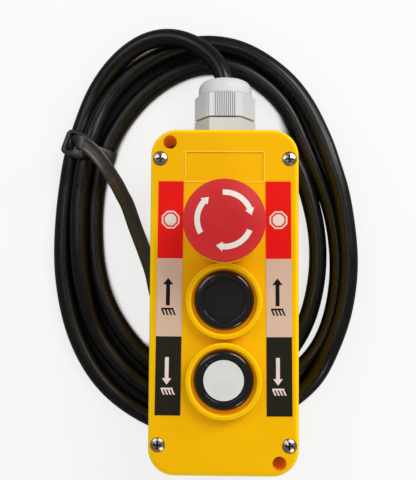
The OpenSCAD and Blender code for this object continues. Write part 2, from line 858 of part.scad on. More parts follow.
// The band is slimmer at the top, where two strands lie side by side instead of three
function band_edge(angle, out) =
    coil_point(angle, out - sign(out) * top_slim * pow(max(sin(angle), 0), 2));

module coil_band(inner, outer, h) {
    turns = [for (k = [0 : coil_steps - 1]) 360 * k / coil_steps];
    linear_extrude(h) difference() {
        polygon([for (a = turns) band_edge(a, outer)]);
        polygon([for (a = turns) band_edge(a, inner)]);
    }
}

module coil_arc(span, inner, outer, h) {
    turns = [for (a = [span[0] : 360 / coil_steps : span[1]]) a];
    back = [for (k = [len(turns) - 1 : -1 : 0]) turns[k]];
    linear_extrude(h) polygon(concat([for (a = turns) coil_point(a, outer)],
        [for (a = back) coil_point(a, inner)]));
}

// The outer shape of the coiled cable: one strand rides on the others at the left and right
module cable_coil() {
    color([0.07, 0.07, 0.07]) difference() {
        translate([0, 0, floor_z]) union() {
            coil_band(-ring_half, ring_half, cable_d);
            coil_arc(left_arc, -cable_d / 2, cable_d / 2, cable_d + rise);
            coil_arc(right_arc, ring_half - 2 - cable_d, ring_half - 2, cable_d + rise);
        }
        tie_frame() translate([-ring_half - 2, -tie_w / 2 - 0.3, floor_z - 1])
            cube([2 * ring_half + 4, tie_w + 0.6, tie_t + tie_gap + 1]);
    }
}

module cable_tail() {
    color([0.07, 0.07, 0.07]) swept_tube(tail_route, cable_d, 10);
}

// Cores bared at the free end, with a ferrule on each
module cable_end_cores() {
    last = tail_route[len(tail_route) - 1];
    way = unit(last - tail_route[len(tail_route) - 2]);
    color([0.75, 0.75, 0.72]) translate(last) rotate([0, 0, atan2(way[1], way[0])])
        rotate([0, 90, 0]) for (sx = [-1, 1], sz = [-1, 1]) translate([sz * 1.8, sx * 1.8, 0]) {
            cylinder(d = end_core_d, h = end_core_l);
            translate([0, 0, end_core_l - eps]) cylinder(d = 1.4, h = 6);
        }
}

// Sets a piece square across the coil where the tie holds it
module tie_frame() {
    p = coil_point(tie_angle, 0);
    across = atan2(sin(tie_angle) / coil_half_top, cos(tie_angle) / coil_half_w);
    translate([p[0], p[1], 0]) rotate([0, 0, across]) children();
}

// A flat strap along a route, lying level across its width
module strap(route, w, t) {
    rings = len(route);
    points = [for (i = [0 : rings - 1])
        let (way = heading(route, i), across = side_of(way, [0, 0, 1]), over = cross(across, way))
        each [for (c = [[-1, -1], [1, -1], [1, 1], [-1, 1]])
            route[i] + c[0] * w / 2 * across + c[1] * t / 2 * over]];
    faces = [for (i = [0 : rings - 2], k = [0 : 3])
        let (a = 4 * i + k, b = 4 * i + (k + 1) % 4)
        each [[a, b, b + 4], [a, b + 4, a + 4]]];
    polyhedron(points, concat([[3, 2, 1, 0], [for (k = [0 : 3]) 4 * rings - 4 + k]], faces));
}

// Cable tie: a flat band round the coil, its head on the outer side and a long loose end
module cable_tie() {
    high = cable_d + rise;
    reach = ring_half + tie_gap + 0.6;
    head_w = tie_w + 6;
    head_t = 6.5;
    color([0.05, 0.05, 0.05]) union() {
        tie_frame() {
            translate([0, tie_w / 2, floor_z]) rotate([90, 0, 0]) linear_extrude(tie_w) difference() {
                translate([-reach - tie_t, 0]) square([2 * (reach + tie_t), high + tie_gap + tie_t]);
                translate([-reach, tie_t]) square([2 * reach, high + tie_gap - tie_t]);
            }
            translate([reach - 9, -head_w / 2, floor_z + high + tie_gap + tie_t - 0.5])
                cube([13, head_w, head_t]);
        }
        strap(tie_tail, tie_w, tie_t);
    }
}

front_cover();
rear_case();
housing_gasket();
cover_screws();
thread_inserts();
stop_legends();
raise_legends();
lower_legends();
estop_mushroom();
estop_arrows();
estop_stem();
estop_ring();
estop_ring_seal();
estop_lock_nut();
estop_spring();
estop_contact_block();
estop_contact_tip();
raise_ring();
raise_ring_seal();
raise_cap();
raise_lock_nut();
raise_spring();
raise_contact_block();
raise_contact_tip();
lower_ring();
lower_ring_seal();
lower_cap();
lower_cap_disc();
lower_lock_nut();
lower_spring();
lower_contact_block();
lower_contact_tip();
terminal_screws();
gland_body();
gland_washer();
gland_seal();
gland_dome_nut();
gland_lock_nut();
cable_sheath_end();
cable_cores();
cable_lead();
cable_coil();
cable_tail();
cable_tie();
cable_end_cores();
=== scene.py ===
from math import atan2, cos, pi, radians, sin, sqrt

import bmesh
import bpy
from mathutils import Matrix, Vector


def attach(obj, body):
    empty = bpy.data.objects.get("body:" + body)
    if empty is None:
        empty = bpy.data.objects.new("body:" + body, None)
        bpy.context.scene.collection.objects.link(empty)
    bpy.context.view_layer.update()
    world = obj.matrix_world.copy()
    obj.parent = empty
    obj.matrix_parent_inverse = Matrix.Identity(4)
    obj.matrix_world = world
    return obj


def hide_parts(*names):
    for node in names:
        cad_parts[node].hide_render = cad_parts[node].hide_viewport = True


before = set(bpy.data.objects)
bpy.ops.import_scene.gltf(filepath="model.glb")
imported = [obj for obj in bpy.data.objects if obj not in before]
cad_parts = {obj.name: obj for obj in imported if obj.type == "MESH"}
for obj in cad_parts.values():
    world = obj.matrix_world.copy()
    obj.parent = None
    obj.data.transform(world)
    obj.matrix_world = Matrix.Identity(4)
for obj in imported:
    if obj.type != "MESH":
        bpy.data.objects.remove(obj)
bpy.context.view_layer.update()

MM = 0.001
UP = Vector((0, 0, 1))
# Corners of a rounded rectangle: the signs of x and y, and where the corner's arc starts
QUARTERS = ((1, 1, 0), (-1, 1, 90), (-1, -1, 180), (1, -1, 270))

# Camera of the photograph: 400 mm above the cover, tilted and turned a little
FOCAL_PX = 797
PHOTO_HEIGHT_PX = 480
SENSOR_MM = 36
CAMERA_AT = (0, -0.0115, 0.4085)
TILT = radians(3.7)
SWING = radians(1.18)
ROLL = radians(0.38)


def photo_camera():
    data = bpy.data.cameras.new("photo_camera")
    data.sensor_fit = "VERTICAL"
    data.sensor_height = SENSOR_MM
    data.lens = FOCAL_PX / PHOTO_HEIGHT_PX * SENSOR_MM
    data.clip_start = 0.01
    data.clip_end = 20
    camera = bpy.data.objects.new("photo_camera", data)
    bpy.context.scene.collection.objects.link(camera)
    bpy.context.scene.camera = camera
    look = Vector((-sin(SWING), sin(TILT), -1)).normalized()
    right = look.cross(Vector((-sin(ROLL), 1, 0))).normalized()
    axes = Matrix((right, right.cross(look), -look)).transposed().to_4x4()
    camera.matrix_world = Matrix.Translation(CAMERA_AT) @ axes


photo_camera()


# Colours and shader nodes
def linear(channel):
    c = channel / 255
    return c / 12.92 if c <= 0.04045 else ((c + 0.055) / 1.055) ** 2.4


def rgb(r, g, b):
    return (linear(r), linear(g), linear(b), 1)


def noise(tree, spot, scale, detail):
    node = tree.nodes.new("ShaderNodeTexNoise")
    node.inputs["Scale"].default_value = scale
    node.inputs["Detail"].default_value = detail
    tree.links.new(spot, node.inputs["Vector"])
    return node.outputs["Fac"]


def ramp(tree, value, base, other):
    """From the colour base to the colour other over the middle half of the value's range."""
    node = tree.nodes.new("ShaderNodeValToRGB")
    start, end = node.color_ramp.elements
    start.position = 0.25
    end.position = 0.75
    start.color = base
    end.color = other
    tree.links.new(value, node.inputs["Fac"])
    return node.outputs["Color"]


def map_range(tree, value, start, end, low=0, high=1):
    """From low to high as the value goes from start to end."""
    node = tree.nodes.new("ShaderNodeMapRange")
    for name, number in (("From Min", start), ("From Max", end), ("To Min", low), ("To Max", high)):
        node.inputs[name].default_value = number
    tree.links.new(value, node.inputs["Value"])
    return node.outputs["Result"]


def axis_of(tree, vector, axis):
    node = tree.nodes.new("ShaderNodeSeparateXYZ")
    tree.links.new(vector, node.inputs["Vector"])
    return node.outputs[axis]


def maths(tree, operation, *values):
    """A math node whose inputs are links or numbers."""
    node = tree.nodes.new("ShaderNodeMath")
    node.operation = operation
    for socket, value in zip(node.inputs, values):
        if isinstance(value, (int, float)):
            socket.default_value = value
        else:
            tree.links.new(value, socket)
    return node.outputs["Value"]


def cover(tree, share, under, over):
    """The linked colour under, covered by the fixed colour over as far as share says."""
    node = tree.nodes.new("ShaderNodeMix")
    node.data_type = "RGBA"
    # A mix node's colours are its inputs 6 and 7, and the mixed colour is its output 2
    first, second = node.inputs[6], node.inputs[7]
    tree.links.new(share, node.inputs["Factor"])
    tree.links.new(under, first)
    second.default_value = over
    return node.outputs[2]


# Materials. Rims and walls take their painted highlight colours over these ranges of the normal's z.
RIM_Z = (0.995, 0.8)
WALL_Z = (0.6, 0.2)
# Over which pointiness sharp edges take their painted highlight, and how much of it
EDGE_POINTINESS = (0.52, 0.62)
EDGE_SHARE = 0.5
# How far the grain moves the roughness up and down, and its height in metres
SHEEN_SPREAD = 0.06
SMOOTHEST = 0.02
GRAIN_RANGE = (0.3, 0.7)
GRAIN_HEIGHT = 0.0001
COAT_ROUGH = 0.06


def material(name, base, other, rough, *, patch=60, grain=0, grain_size=900, metal=0,
             specular=0.5, coat=0, edge_highlight=None, slope_highlight=None, depth=None, glow=0):
    """A material whose colour drifts from base to other in soft patches, with fine grain.

    edge_highlight is a painted highlight on sharp edges, and slope_highlight the painted highlight colours of
    rounded rims and of walls.
    depth is (start, end, colour): the colour of painted shade that takes over between two heights, in metres.
    glow is how strongly the surface shines in its own colour: painted light.
    """
    mat = bpy.data.materials.new(name)
    mat.use_nodes = True
    tree = mat.node_tree
    shader = tree.nodes["Principled BSDF"]
    place = tree.nodes.new("ShaderNodeTexCoord")
    spot = place.outputs["Object"]
    colour = ramp(tree, noise(tree, spot, scale=patch, detail=4), base, other)
    if slope_highlight:
        rim, wall = slope_highlight
        facing = axis_of(tree, place.outputs["Normal"], "Z")
        colour = cover(tree, map_range(tree, facing, *RIM_Z), colour, rim)
        colour = cover(tree, map_range(tree, facing, *WALL_Z), colour, wall)
    if depth:
        start, end, deep = depth
        height = axis_of(tree, spot, "Z")
        colour = cover(tree, map_range(tree, height, start, end), colour, deep)
    if glow:
        tree.links.new(colour, shader.inputs["Emission Color"])
        shader.inputs["Emission Strength"].default_value = glow
    if edge_highlight:
        shape = tree.nodes.new("ShaderNodeNewGeometry")
        edge = map_range(tree, shape.outputs["Pointiness"], *EDGE_POINTINESS, 0, EDGE_SHARE)
        colour = cover(tree, edge, colour, edge_highlight)
    tree.links.new(colour, shader.inputs["Base Color"])
    fine = noise(tree, spot, scale=grain_size, detail=3)
    sheen = map_range(tree, fine, *GRAIN_RANGE, max(rough - SHEEN_SPREAD, SMOOTHEST),
                      rough + SHEEN_SPREAD)
    tree.links.new(sheen, shader.inputs["Roughness"])
    if grain:
        bump = tree.nodes.new("ShaderNodeBump")
        bump.inputs["Strength"].default_value = grain
        bump.inputs["Distance"].default_value = GRAIN_HEIGHT
        tree.links.new(fine, bump.inputs["Height"])
        tree.links.new(bump.outputs["Normal"], shader.inputs["Normal"])
    shader.inputs["Metallic"].default_value = metal
    shader.inputs["Specular IOR Level"].default_value = specular
    if coat:
        shader.inputs["Coat Weight"].default_value = coat
        shader.inputs["Coat Roughness"].default_value = COAT_ROUGH
    return mat


# Housing
# The yellow moulding's rounded rims and walls take lighter colours: painted highlight.
YELLOW = material("yellow_moulding", rgb(243, 181, 0), rgb(247, 189, 0), 0.45, patch=25,
                  grain=0.2, grain_size=1400, specular=0.06,
                  slope_highlight=(rgb(255, 214, 8), rgb(248, 190, 2)))
# Walls and floors of holes and screw recesses: an orange tint and a glow, painted light, and a dark colour
# lower down, painted shade.
DEEP_GLOW_SHADE = material("yellow_inside_painted_glow_and_shade", rgb(250, 168, 24), rgb(246, 162, 20), 0.5, patch=25, grain=0.2,
                specular=0.1, depth=(-0.019, -0.026, rgb(40, 26, 14)), glow=0.07)
# Inner walls of the collars round the operators: an orange tint and a glow, painted light.
BORE_GLOW = material("yellow_bore_painted_glow", rgb(250, 168, 10), rgb(246, 162, 8), 0.5, patch=25, grain=0.2,
                specular=0.1, glow=0.2)
# The panel frame on the cover: a lighter yellow, painted highlight.
FRAME_HIGHLIGHT = material("yellow_frame_painted_highlight", rgb(255, 206, 40), rgb(255, 212, 50), 0.4, patch=25, grain=0.2,
                 grain_size=1400, specular=0.3)
# Parting line: a darker yellow, painted shade of the gap between cover and case.
SEAM_SHADE = material("parting_line_painted_shade", rgb(120, 84, 6), rgb(132, 94, 8), 0.7, patch=40, specular=0.1)
RUBBER = material("rubber", rgb(24, 24, 24), rgb(36, 36, 36), 0.75, patch=200, grain=0.7)

# Operators
# The mushroom's rounded rims and walls take lighter reds: painted highlight.
RED = material("red_head_plastic", rgb(190, 30, 34), rgb(198, 36, 40), 0.42, patch=70,
               grain=0.15, grain_size=1600, specular=0.18,
               slope_highlight=(rgb(255, 72, 74), rgb(216, 40, 44)))
MARKS = material("white_moulding", rgb(226, 222, 208), rgb(234, 230, 218), 0.5, grain=0.2)
GLOSS = material("glossy_black", rgb(14, 14, 14), rgb(24, 24, 23), 0.14, patch=120, grain=0.1,
                 coat=0.5)
MATT = material("matt_black", rgb(12, 12, 10), rgb(18, 18, 15), 0.5, patch=150, grain=0.5,
                grain_size=2200, specular=0.3)
WHITE = material("white_cap_plastic", rgb(212, 215, 212), rgb(222, 224, 220), 0.4, patch=90,
                 grain=0.15)
STEM = material("grey_stem", rgb(132, 134, 138), rgb(148, 150, 154), 0.5, patch=150, grain=0.3)
BLOCK_RED = material("red_block", rgb(178, 40, 32), rgb(194, 52, 42), 0.45, patch=120,
                     grain=0.4, grain_size=1200)
BLOCK_GREEN = material("green_block", rgb(22, 118, 62), rgb(34, 134, 74), 0.45, patch=120,
                       grain=0.4, grain_size=1200)

# Stickers and their prints
LABEL_RED = material("red_film", rgb(238, 6, 2), rgb(228, 4, 2), 0.45, patch=110,
                     grain=0.1, grain_size=2500, specular=0.15)
LABEL_BEIGE = material("beige_film", rgb(220, 190, 168), rgb(212, 182, 158), 0.5, patch=90,
                       grain=0.1, grain_size=2500, specular=0.2)
LABEL_BLACK = material("black_film", rgb(28, 24, 16), rgb(36, 32, 22), 0.4, patch=110,
                       grain=0.1, grain_size=2500, specular=0.25)
PRINT_DARK = material("dark_print", rgb(14, 12, 10), rgb(22, 18, 16), 0.55, patch=400,
                      grain=0.2, grain_size=3000, specular=0.2)
PRINT_PALE = material("pale_print", rgb(226, 206, 196), rgb(238, 222, 214), 0.55, patch=400,
                      grain=0.2, grain_size=3000)

# Metal
NICKEL = material("nickel", rgb(200, 196, 190), rgb(226, 224, 220), 0.22, patch=700, metal=1,
                  grain=0.5, grain_size=2600)
# Cross slots of the screw heads: a darker, brownish metal, painted shade.
SHADE = material("screw_recess", rgb(70, 56, 44), rgb(96, 78, 60), 0.4, patch=900, metal=1,
                 grain=0.5, grain_size=2600)
BRASS = material("brass", rgb(196, 158, 84), rgb(222, 186, 110), 0.3, patch=500, metal=1,
                 grain=0.4, grain_size=2000)
STEEL = material("spring_wire", rgb(170, 172, 176), rgb(204, 206, 210), 0.25, patch=600,
                 metal=1, grain=0.4, grain_size=2400)
FERRULE = material("tinned_ferrule", rgb(196, 190, 182), rgb(222, 218, 210), 0.3, patch=800,
                   metal=1, grain=0.4)

# Gland, cable and tie
# Sharp edges of the grey nylon take a lighter grey: painted highlight.
GLAND = material("grey_nylon", rgb(217, 220, 224), rgb(209, 212, 216), 0.36, patch=90,
                 grain=0.25, grain_size=1300, edge_highlight=rgb(234, 237, 242))
# Grooves between the ribs of the gland nut: a darker grey, painted shade.
GROOVE_SHADE = material("nylon_groove_painted_shade", rgb(140, 141, 143), rgb(150, 151, 153), 0.6, patch=90,
                  specular=0.1)
CABLE = material("black_sheath", rgb(9, 9, 8), rgb(14, 14, 12), 0.3, patch=90,
                 grain_size=150, specular=0.42)
TIE = material("black_nylon", rgb(32, 30, 26), rgb(42, 39, 34), 0.36, patch=220, grain=0.05,
               grain_size=300, specular=1)
CORES = [
    material("core_brown", rgb(96, 58, 34), rgb(112, 70, 44), 0.4, patch=300, grain=0.3),
    material("core_blue", rgb(34, 76, 158), rgb(48, 92, 176), 0.4, patch=300, grain=0.3),
    material("core_grey", rgb(150, 152, 154), rgb(168, 170, 172), 0.4, patch=300, grain=0.3),
    material("core_white", rgb(224, 222, 214), rgb(236, 234, 228), 0.4, patch=300, grain=0.3),
]

# Finishes of the CAD nodes
FINISH = {
    "front_cover": YELLOW, "rear_case": YELLOW, "housing_gasket": RUBBER,
    "cover_screws": NICKEL, "thread_inserts": BRASS,
    "stop_legends": LABEL_RED, "raise_legends": LABEL_BEIGE, "lower_legends": LABEL_BLACK,
    "estop_mushroom": RED, "estop_arrows": MARKS, "estop_stem": STEM, "estop_ring": GLOSS,
    "estop_ring_seal": RUBBER, "estop_lock_nut": MATT, "estop_spring": STEEL,
    "estop_contact_block": BLOCK_RED, "estop_contact_tip": MARKS,
    "raise_ring": GLOSS, "raise_ring_seal": RUBBER, "raise_cap": MATT, "raise_lock_nut": MATT,
    "raise_spring": STEEL, "raise_contact_block": BLOCK_GREEN, "raise_contact_tip": MARKS,
    "lower_ring": GLOSS, "lower_ring_seal": RUBBER, "lower_cap": MATT,
    "lower_cap_disc": WHITE, "lower_lock_nut": MATT, "lower_spring": STEEL,
    "lower_contact_block": BLOCK_GREEN, "lower_contact_tip": MARKS, "terminal_screws": NICKEL,
    "gland_body": GLAND, "gland_washer": RUBBER, "gland_seal": RUBBER,
    "gland_dome_nut": GLAND, "gland_lock_nut": GLAND, "cable_sheath_end": CABLE,
    "cable_cores": CORES[3], "cable_lead": CABLE, "cable_coil": CABLE, "cable_tail": CABLE,
    "cable_tie": TIE, "cable_end_cores": CORES[3],
}
SMOOTH_ANGLE = radians(32)
for node, finish in FINISH.items():
    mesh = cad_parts[node].data
    mesh.materials.clear()
    mesh.materials.append(finish)
    mesh.set_sharp_from_angle(angle=SMOOTH_ANGLE)
    for polygon in mesh.polygons:
        polygon.use_smooth = True

# Places of the housing and its operators in millimetres, as in part.scad
BODY_W = 75
BODY_L = 173.6
BODY_R = 13.3
BODY_Y = -16
SEAM_Z = -5.5
FACE = 8.5
FRAME_TOP = FACE + 0.25
HOLES = [(-27.8, 64.1), (27.8, -96.1)]
SCREWS = [(x, y) for x in (-32.7, 32.7) for y in (55.6, -87.6)]
COLLARS = [(0, 21.4), (0, -16.2), (0, -55.7)]
# From which z of its normal a face counts as level, and up to which as steep
LEVEL = 0.9
STEEP = 0.5
# How far the walls of a hole, a recess, a collar and a cross slot lie from its middle at most
HOLE_REACH = 3.62
RECESS_REACH = 3.9
COLLAR_REACH = 16.7
CROSS_REACH = 2.3
# Steep faces above the first height lie in it, and level ones as well up to the second
COLLAR_Z = (6, 9.5)
CROSS_Z = (7.1, 8)
# Gland nut: the height of its axis, half its width over flats and half a flat's ribbed part
GLAND_Z = -21
NUT_HALF = 14.3
RIBBED_HALF = 5.9
RIBS_Y = (80, 94)


def near(spot, places, reach):
    return any((spot.xy - Vector(place)).length < reach for place in places)


def on_panel_frame(c, n):
    return abs(c.z - FRAME_TOP) < 0.15 and n.z > LEVEL


def in_hole(c, n):
    return near(c, HOLES, HOLE_REACH)


def in_hole_or_recess(c, n):
    return in_hole(c, n) or (n.z < LEVEL and c.z < FACE - 0.1 and near(c, SCREWS, RECESS_REACH))


def in_collar(c, n):
    low, high = COLLAR_Z
    return near(c, COLLARS, COLLAR_REACH) and (n.z < STEEP or c.z < high) and c.z > low


def in_groove(c, n):
    """Whether a place of the dome nut lies between the ribs on one of its six flats."""
    z = c.z - GLAND_Z
    flats = [(c.x * cos(t) + z * sin(t), abs(c.x * sin(t) - z * cos(t)))
             for t in (radians(90 + 60 * k) for k in range(6))]
    reach, aside = max(flats)
    on_flat = abs(reach - NUT_HALF) < 0.03 and aside < RIBBED_HALF
    return on_flat and RIBS_Y[0] < c.y < RIBS_Y[1] and abs(n.y) < 0.2


def in_cross(c, n):
    low, high = CROSS_Z
    return near(c, SCREWS, CROSS_REACH) and c.z > low and (n.z < STEEP or c.z < high)


def repaint(node, mat, chosen):
    """Gives the polygons for which chosen(centre in mm, normal) holds a material of their own."""
    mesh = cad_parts[node].data
    mesh.materials.append(mat)
    for polygon in mesh.polygons:
        if chosen(polygon.center / MM, polygon.normal):
            polygon.material_index = len(mesh.materials) - 1


# The panel frame takes a painted highlight.
repaint("front_cover", FRAME_HIGHLIGHT, on_panel_frame)
# Holes and screw recesses take a painted glow and, lower down, painted shade.
repaint("front_cover", DEEP_GLOW_SHADE, in_hole_or_recess)
# Collar bores take a painted glow.
repaint("front_cover", BORE_GLOW, in_collar)
# The case's holes take the same painted glow and painted shade.
repaint("rear_case", DEEP_GLOW_SHADE, in_hole)
# The nut's grooves take painted shade.
repaint("gland_dome_nut", GROOVE_SHADE, in_groove)
# The screws' cross slots take painted shade.
repaint("cover_screws", SHADE, in_cross)


# Tools for curves and skins
SPLINE_CUTS = 16


def smooth_table(table, x):
    """A smooth curve through the table's points (angle, value), flat outside them."""
    if x <= table[0][0]:
        return table[0][1]
    if x >= table[-1][0]:
        return table[-1][1]
    k = max(i for i in range(len(table) - 1) if table[i][0] <= x)
    (x0, y0), (x1, y1) = table[k], table[k + 1]

    def slope(i):
        if i in (0, len(table) - 1):
            return 0
        before = (table[i][1] - table[i - 1][1]) / (table[i][0] - table[i - 1][0])
        after = (table[i + 1][1] - table[i][1]) / (table[i + 1][0] - table[i][0])
        if before * after <= 0:
            return 0
        return 2 * before * after / (before + after)

    span = x1 - x0
    t = (x - x0) / span
    return ((2 * t ** 3 - 3 * t ** 2 + 1) * y0 + (t ** 3 - 2 * t ** 2 + t) * span * slope(k)
            + (3 * t ** 2 - 2 * t ** 3) * y1 + (t ** 3 - t ** 2) * span * slope(k + 1))


def path_length(path):
    return sum((q - p).length for p, q in zip(path, path[1:]))


def even_path(points, step):
    """A smooth curve through the points, cut into equal steps."""
    dense = []
    ends = [points[0] * 2 - points[1]] + points + [points[-1] * 2 - points[-2]]
    for a, b, c, d in zip(ends, ends[1:], ends[2:], ends[3:]):
        for k in range(SPLINE_CUTS):
            t = k / SPLINE_CUTS
            dense.append(0.5 * (2 * b + (c - a) * t + (2 * a - 5 * b + 4 * c - d) * t ** 2
                                + (3 * b - a - 3 * c + d) * t ** 3))
    dense.append(points[-1])
    total = path_length(dense)
    count = max(int(total / step), 2)
    out, walked, i = [dense[0]], 0, 0
    for k in range(1, count):
        goal = total * k / count
        while walked + (dense[i + 1] - dense[i]).length < goal:
            walked += (dense[i + 1] - dense[i]).length
            i += 1
        part = (goal - walked) / (dense[i + 1] - dense[i]).length
        out.append(dense[i].lerp(dense[i + 1], part))
    return out + [dense[-1]]


def settle(points, rounds):
    """Evens out small kinks along a path and keeps its two ends."""
    for _ in range(rounds):
        points = [points[0], points[1]] + [
            (a + 2 * b + c) / 4 for a, b, c in zip(points[1:], points[2:], points[3:])
        ] + [points[-1]]
    return points


def ways_along(path):
    """The direction of the path at each of its points."""
    return [(path[min(i + 1, len(path) - 1)] - path[max(i - 1, 0)]).normalized()
            for i in range(len(path))]


def hull(points):
    """The outline round a set of flat points, anticlockwise."""
    points = sorted(set(points))

    def half(run):
        chain = []
        for p in run:
            while len(chain) > 1 and ((chain[-1][0] - chain[-2][0]) * (p[1] - chain[-2][1])
                                      <= (chain[-1][1] - chain[-2][1]) * (p[0] - chain[-2][0])):
                chain.pop()
            chain.append(p)
        return chain[:-1]

    return half(points) + half(points[::-1])


def sweep(bm, sections, mat=0, closed=False):
    """Joins the sections, lists of as many points each, into a smooth skin."""
    rings = [[bm.verts.new(p) for p in section] for section in sections]
    pairs = list(zip(rings, rings[1:]))
    if closed:
        pairs.append((rings[-1], rings[0]))
    n = len(rings[0])
    for lower, upper in pairs:
        for k in range(n):
            face = bm.faces.new((lower[k], lower[(k + 1) % n], upper[(k + 1) % n], upper[k]))
            face.material_index = mat
            face.smooth = True
    if not closed:
        for ring in (rings[0], rings[-1]):
            bm.faces.new(ring).material_index = mat


def tube(bm, path, radii, mat, sides=12):
    sections = []
    for spot, way, radius in zip(path, ways_along(path), radii):
        across = way.cross(UP).normalized()
        over = across.cross(way)
        sections.append([spot + radius * (cos(t) * across + sin(t) * over)
                         for t in (2 * pi * k / sides for k in range(sides))])
    sweep(bm, sections, mat)


def prism(bm, outline, low, high):
    """A flat plate with the given outline, from height low to high."""
    foot = [bm.verts.new((x, y, low)) for x, y in outline]
    head = [bm.verts.new((x, y, high)) for x, y in outline]
    n = len(outline)
    for k in range(n):
        bm.faces.new((foot[k], foot[(k + 1) % n], head[(k + 1) % n], head[k]))
    bm.faces.new(foot)
    bm.faces.new(head)


def add_piece(name, bm, mats):
    """A piece on the housing's body, with the given materials."""
    mesh = bpy.data.meshes.new(name)
    bmesh.ops.recalc_face_normals(bm, faces=bm.faces)
    bm.to_mesh(mesh)
    bm.free()
    for mat in mats:
        mesh.materials.append(mat)
    piece = bpy.data.objects.new(name, mesh)
    bpy.context.scene.collection.objects.link(piece)
    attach(piece, "housing")
    return piece


# Cable, in millimetres until its path is made. Its lead follows the one in part.scad, and its
# turns lie about the ring that stands for them there.
CABLE_D = 10
FLOOR = -51.5
LOW = FLOOR + CABLE_D / 2
COIL = Vector((-9.2, 10.8, 0))
HALF_W = 72.9
HALF_TOP = 115
HALF_LOW = 90.5
EXIT = Vector((0, 102.8, -21))
LEAD = [(0, -3, 0), (-0.5, 4, -0.2), (-2.3, 8.2, -1.2), (-5.2, 12.8, -3.2), (-9.8, 18.2, -6),
        (-17.3, 24.1, -9), (-24.6, 27.7, -11), (-31.7, 29.5, -13), (-42.6, 28.6, -15),
        (-52.4, 24.2, -17.2), (-62, 17, -20), (-70.4, 7.4, -23), (-76.3, -2, -25),
        (-80.7, -13.2, -25.5), (-83, -21.5, -25.5)]
# How far a strand lies out of the coil's middle line, by the angle round the coil
OUT_FIRST = [(148, 14.6), (165, 11.8), (177, 10.7), (191, 10.6), (207, 11.6), (224, 12.3),
             (246, 10.6), (270, 10)]
OUT_LOWER = [(270, 0), (302, 0), (328, 3.9), (347, 2.4), (364, 0.6), (376, -1.8), (386, -4.6),
             (396, -5.8), (404, -4.6), (414, -3.9), (424, -4.6), (434, -4.7), (451, -5.6),
             (468, -6.2), (483, -5.2), (496, -4.1), (505, -3.5), (521, -4.5), (536, -7.1),
             (556, -9.9), (582, -13.8), (605, -15.5), (630, -12)]
OUT_LAST = [(270, -12), (302, -10), (328, -9.2), (345, -9.9), (364, -10.4), (386, -13)]
# How much wider than a diameter the two middle turns lie apart, and how high the upper one is
GAP = [(366, 0), (380, 2.2), (390, 3.1), (400, 1.8), (412, 0.6), (426, 0.3), (440, 0.8),
       (456, 2), (464, 2.8), (475, 3.5), (488, 4), (497, 3.4), (508, 1.3), (521, 0), (553, 0),
       (572, 2.7), (605, 2.9), (630, 2)]
LIFT = [(302, 0), (328, 9.1), (347, 9), (364, 8.7), (384, 8.6), (396, 6.6), (411, 5),
        (421, 4.6), (434, 2.6), (452, 1.6), (485, 1.6), (498, 3.4), (508, 5), (522, 6),
        (536, 6.2), (553, 4.2), (572, 0)]
# Angles at which the lead joins the coil, each turn begins and the last one leaves it
JOIN = 154
BOTTOM = 270
LEAVE = 388
ANGLE_STEP = 6
PATH_STEP = 3.5
SETTLE_ROUNDS = 6
# The bow under the pendant in which the cable ends
BOW = Vector((13.3, 38.3, 0))
BOW_R = 38.5
BOW_ANGLES = range(47, 143, 10)
# The tie's place on the coil, and how the strands rise over its strap
TIE_ANGLE = 151
STRAP_LIFT = 1.3
LIFT_FLAT = 5
LIFT_RUN = 21
BUNDLE_HALF = 30


def on_coil(angle, out, lift):
    """A point of the egg-shaped coil, in millimetres."""
    a = radians(angle)
    tall = HALF_TOP if sin(a) > 0 else HALF_LOW
    return COIL + Vector(((HALF_W + out) * cos(a), (tall + out) * sin(a), LOW + lift))


def upper_out(angle):
    lift = smooth_table(LIFT, angle)
    return (smooth_table(OUT_LOWER, angle) + sqrt(CABLE_D ** 2 - lift ** 2)
            + smooth_table(GAP, angle))


def cable_route():
    turn = range(BOTTOM, BOTTOM + 360, ANGLE_STEP)
    route = [EXIT + Vector(p) for p in LEAD]
    route += [on_coil(a, smooth_table(OUT_FIRST, a), 0) for a in range(JOIN, BOTTOM, ANGLE_STEP)]
    route += [on_coil(a, upper_out(a), smooth_table(LIFT, a)) for a in turn]
    route += [on_coil(a, smooth_table(OUT_LOWER, a), 0) for a in turn]
    route += [on_coil(a, smooth_table(OUT_LAST, a), 0) for a in range(BOTTOM, LEAVE, ANGLE_STEP)]
    route += [BOW + Vector((BOW_R * cos(radians(a)), BOW_R * sin(radians(a)), LOW))
              for a in BOW_ANGLES]
    return route


tie_spot = on_coil(TIE_ANGLE, 0, 0)
tie_lean = atan2(sin(radians(TIE_ANGLE)) / HALF_TOP, cos(radians(TIE_ANGLE)) / HALF_W)
outward = Vector((cos(tie_lean), sin(tie_lean), 0))
along = Vector((-sin(tie_lean), cos(tie_lean), 0))
cable_path = settle(even_path([p * MM for p in cable_route()], PATH_STEP * MM), SETTLE_ROUNDS)
for point in cable_path:
    off = point / MM - tie_spot
    aside = abs(off.dot(along))
    if aside < LIFT_FLAT + LIFT_RUN and abs(off.dot(outward)) < BUNDLE_HALF:
        fall = max(aside - LIFT_FLAT, 0) / LIFT_RUN
        point.z += STRAP_LIFT * MM * (0.5 + 0.5 * cos(pi * fall))

curve = bpy.data.curves.new("cable", "CURVE")
curve.dimensions = "3D"
curve.bevel_depth = CABLE_D * MM / 2
curve.bevel_resolution = 6
curve.use_fill_caps = True
spline = curve.splines.new("POLY")
spline.points.add(len(cable_path) - 1)
for point, place in zip(spline.points, cable_path):
    point.co = (*place, 1)
spline.use_smooth = True
curve.materials.append(CABLE)
cable = bpy.data.objects.new("cable", curve)
bpy.context.scene.collection.objects.link(cable)
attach(cable, "housing")
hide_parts("cable_lead", "cable_coil", "cable_tail")

